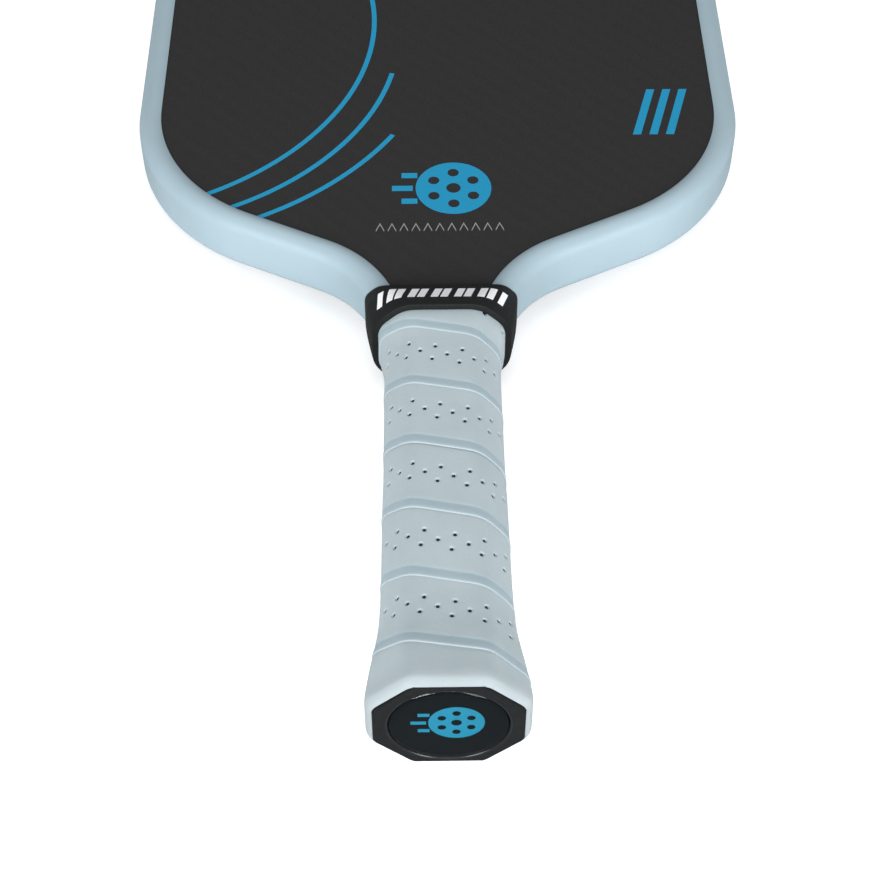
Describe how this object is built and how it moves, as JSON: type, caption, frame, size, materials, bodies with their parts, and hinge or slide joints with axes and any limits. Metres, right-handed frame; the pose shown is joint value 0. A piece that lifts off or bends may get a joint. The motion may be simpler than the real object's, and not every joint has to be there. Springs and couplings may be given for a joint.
{
  "type": "pickleball paddle",
  "caption": "Foam-core pickleball paddle with carbon faces, moulded edge guard, perforated wound grip and flared butt cap.",
  "frame": {"origin": "centre of the butt cap's end face, at mid-thickness of the paddle", "axes": "+Y runs from the butt to the tip of the head, +Z is the normal of the front (printed) face, X is across the head"},
  "size_m": [0.1906, 0.419, 0.0374],
  "materials": {
    "core_foam": "matte",
    "ring_foam": "matte",
    "tang_foam": "matte",
    "inner_carbon": "satin",
    "glass_ply": "satin",
    "face_carbon": "matte",
    "guard_plastic": "satin",
    "pallet_foam": "matte",
    "cap_plastic": "satin",
    "staple_steel": "satin",
    "badge_print": "satin",
    "badge_resin": "gloss",
    "grip_wrap": "matte",
    "finish_tape": "satin",
    "collar_rubber": "satin"
  },
  "bodies": {
    "root": {"core_foam": "core_foam", "core_ring": "ring_foam", "tang_core": "tang_foam", "front_inner_carbon": "inner_carbon", "front_glass": "glass_ply", "front_outer_carbon": "face_carbon", "back_inner_carbon": "inner_carbon", "back_glass": "glass_ply", "back_outer_carbon": "face_carbon", "edge_guard": "guard_plastic", "front_pallet": "pallet_foam", "back_pallet": "pallet_foam", "butt_cap": "cap_plastic", "cap_staples": "staple_steel", "badge_disc": "badge_print", "badge_dome": "badge_resin", "grip_tape": "grip_wrap", "finishing_tape": "finish_tape", "collar": "collar_rubber"}
  },
  "joints": []
}
